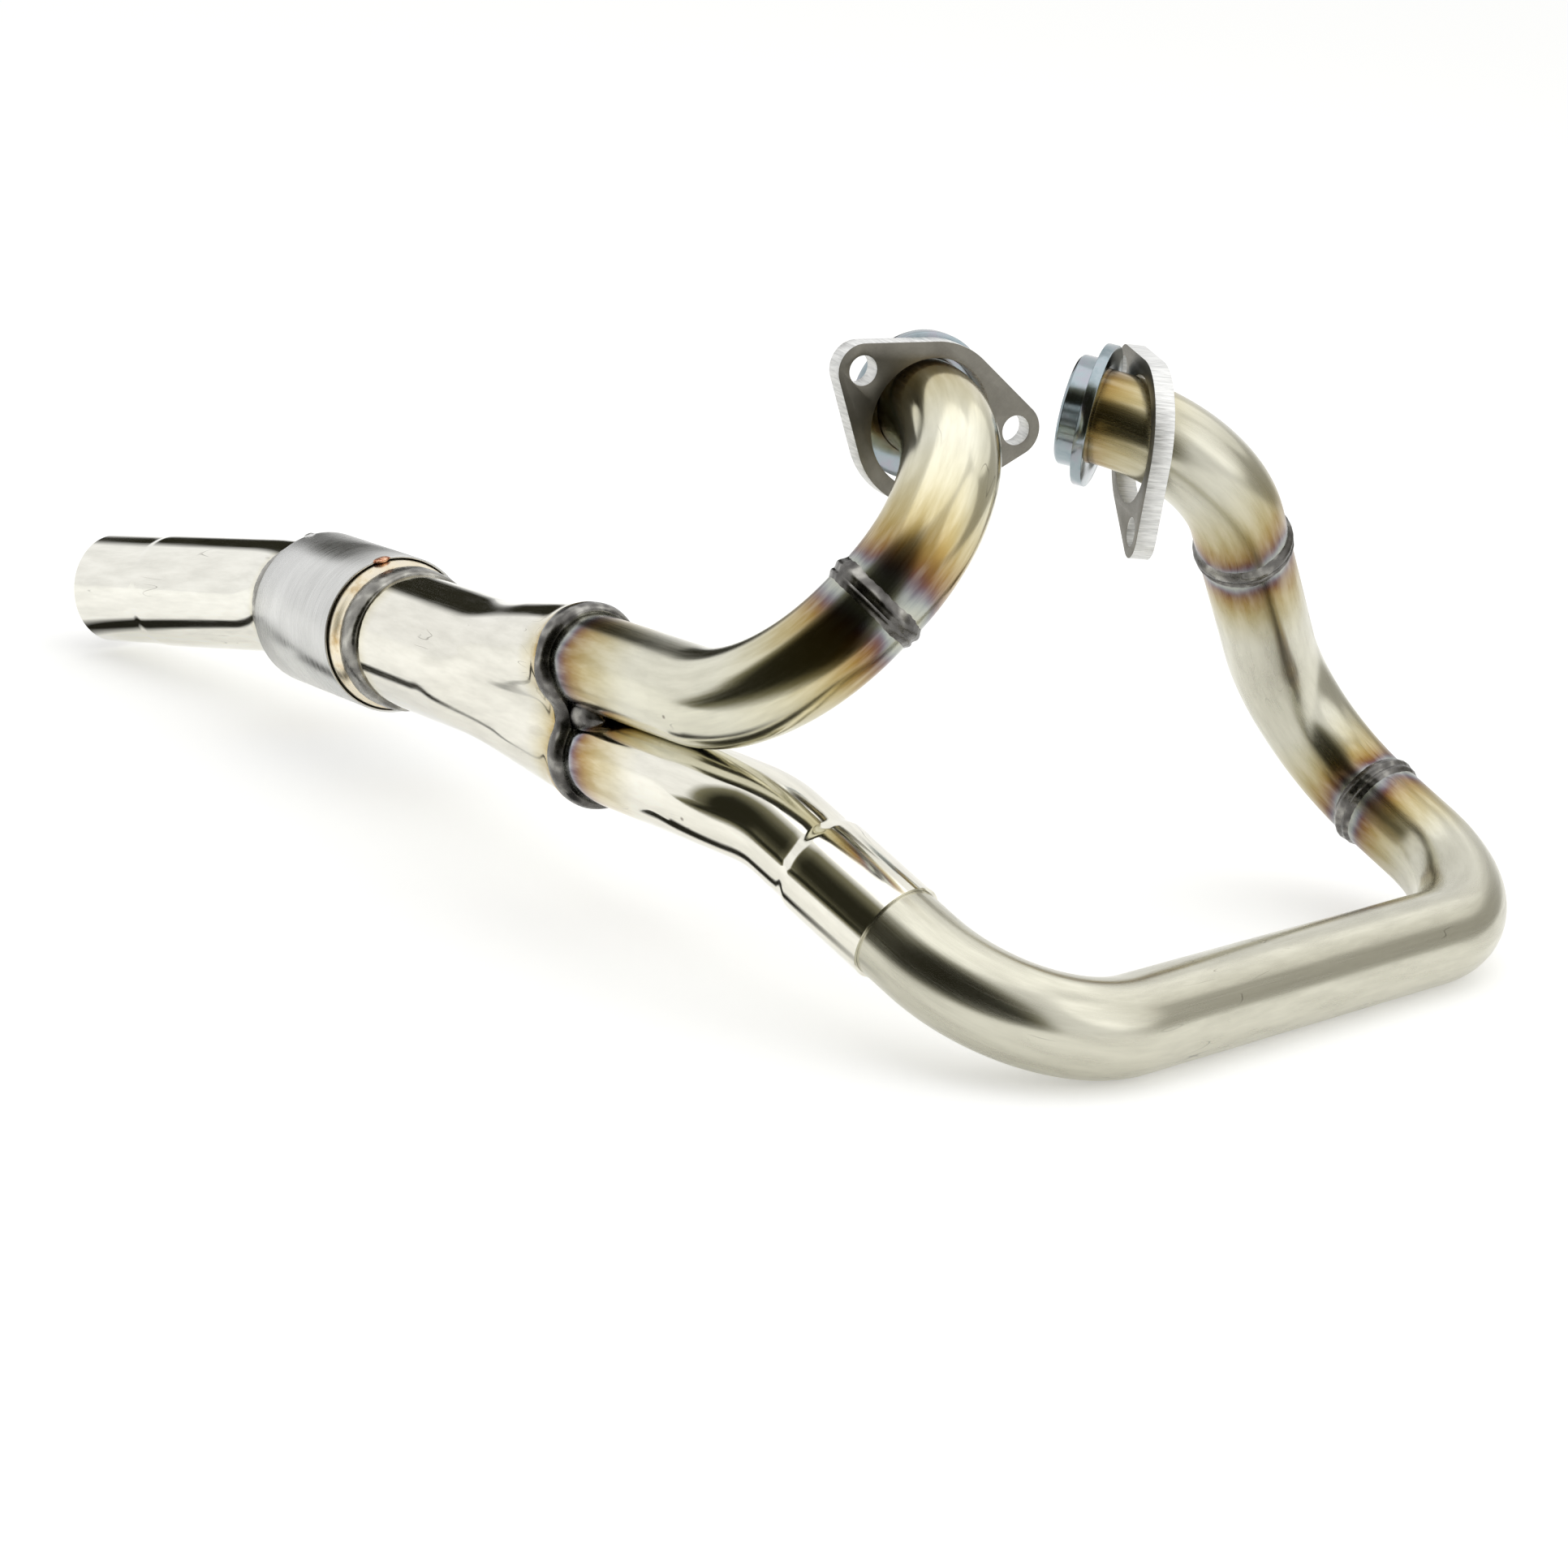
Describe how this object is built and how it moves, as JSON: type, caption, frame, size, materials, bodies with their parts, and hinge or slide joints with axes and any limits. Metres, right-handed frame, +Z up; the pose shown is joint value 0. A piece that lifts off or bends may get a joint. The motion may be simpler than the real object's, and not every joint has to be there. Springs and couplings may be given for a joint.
{
  "type": "motorcycle exhaust header",
  "caption": "Bent stainless header that joins a twin's front and rear exhaust ports into one outlet, with a slip joint, a small can and loose port flanges.",
  "frame": {"origin": "centre of the outlet's mouth", "axes": "+X forward along the collector, towards the engine; +Y left; +Z up as the header lies on a flat floor"},
  "size_m": [0.6635, 0.4155, 0.2482],
  "materials": {
    "satin_pipe": "satin stainless with heat tint beside the welds",
    "bright_pipe": "bright drawn stainless",
    "weld_bead": "rippled dark weld metal",
    "flange_plate": "matt plate with cut edges",
    "zinc_collar": "bright zinc plate",
    "brushed_sleeve": "brushed stainless",
    "can_shell": "spun stainless with straw heat tint"
  },
  "bodies": {
    "header": {"outlet_pipe": "bright_pipe", "can_shell": "can_shell", "outer_sleeve": "brushed_sleeve", "sleeve_front_tack": "weld_bead", "sleeve_rear_tack": "weld_bead", "can_front_weld": "weld_bead", "can_rear_weld": "weld_bead", "merge_collector": "bright_pipe", "collector_weld": "weld_bead", "collector_link": "bright_pipe", "rear_lower_bend": "satin_pipe", "rear_weld": "weld_bead", "rear_upper_bend": "satin_pipe", "rear_collar_weld": "weld_bead", "rear_port_collar": "zinc_collar"},
    "front_branch": {"front_lower_pipe": "satin_pipe", "front_lower_weld": "weld_bead", "front_middle_bend": "satin_pipe", "front_upper_weld": "weld_bead", "front_upper_bend": "satin_pipe", "front_collar_weld": "weld_bead", "front_port_collar": "zinc_collar"},
    "front_plate": {"front_flange": "flange_plate"},
    "rear_plate": {"rear_flange": "flange_plate"}
  },
  "joints": [
    {"name": "slip_joint", "type": "slide", "parent": "header", "child": "front_branch", "axis": [0.8999, 0.2615, -0.3491], "range_m": [0, 0.038]},
    {"name": "front_flange_seat", "type": "hinge", "parent": "front_branch", "child": "front_plate", "pos_m": [0.44849, 0.24566, 0.17985], "axis": [-0.1788, 0.0411, -0.983], "range_deg": [0, 25]},
    {"name": "rear_flange_swivel", "type": "hinge", "parent": "header", "child": "rear_plate", "pos_m": [0.48364, 0.12184, 0.19157], "axis": [-0.9983, 0.0584, 0.0083], "continuous": true}
  ]
}
